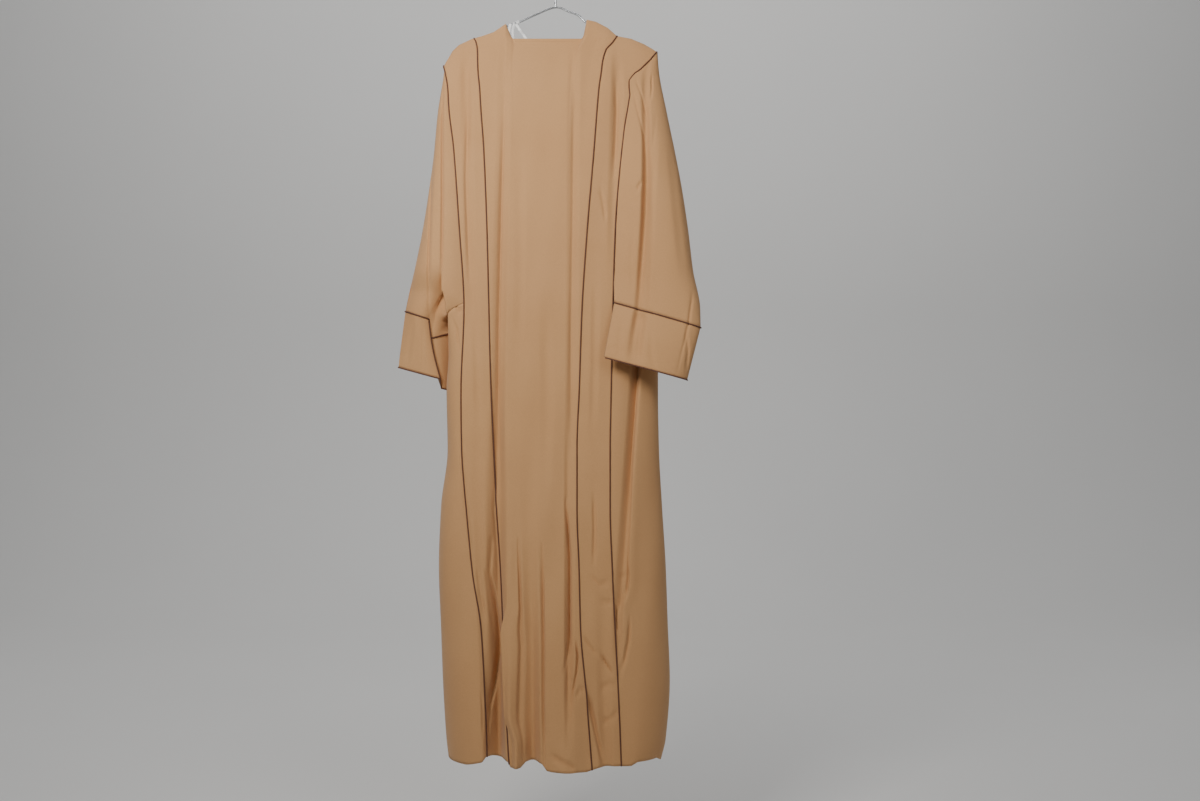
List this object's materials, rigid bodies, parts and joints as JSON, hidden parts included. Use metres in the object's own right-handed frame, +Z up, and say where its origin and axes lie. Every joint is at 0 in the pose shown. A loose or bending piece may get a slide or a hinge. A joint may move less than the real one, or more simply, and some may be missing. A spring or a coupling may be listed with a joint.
{
  "type": "abaya cloak on a wire hanger",
  "caption": "Long open-front abaya cloak with wide piped sleeves and panelled back, hanging on a plain wire hanger.",
  "frame": {"origin": "where the inside of the hanger's hook rests on its rail", "axes": "+Z up, the closed back of the cloak faces -Y and the open front faces +Y, +X to the right seen from the back"},
  "size_m": [0.5874, 0.1981, 1.5339],
  "materials": {
    "cloth": "matt crepe, camel",
    "piping": "dark brown corded piping",
    "ribbon": "white satin ribbon",
    "wire": "bright wire"
  },
  "bodies": {
    "root": {"back_centre_panel": "cloth", "back_side_panel_left": "cloth", "back_side_panel_right": "cloth", "side_panel_left": "cloth", "side_panel_right": "cloth", "front_panel_left": "cloth", "front_panel_right": "cloth", "sleeve_left": "cloth", "sleeve_right": "cloth", "cuff_left": "cloth", "cuff_right": "cloth", "piping_back_inner_left": "piping", "piping_back_inner_right": "piping", "piping_back_outer_left": "piping", "piping_back_outer_right": "piping", "piping_front_edge_left": "piping", "piping_front_edge_right": "piping", "piping_front_outer_left": "piping", "piping_front_outer_right": "piping", "piping_cuff_seam_left": "piping", "piping_cuff_seam_right": "piping", "piping_cuff_hem_left": "piping", "piping_cuff_hem_right": "piping", "ribbon_outer_strand": "ribbon", "ribbon_inner_strand": "ribbon", "ribbon_knot": "ribbon", "hanger_arm_left": "wire", "hanger_arm_right": "wire", "hanger_bar": "wire", "hanger_hook": "wire"}
  },
  "joints": []
}
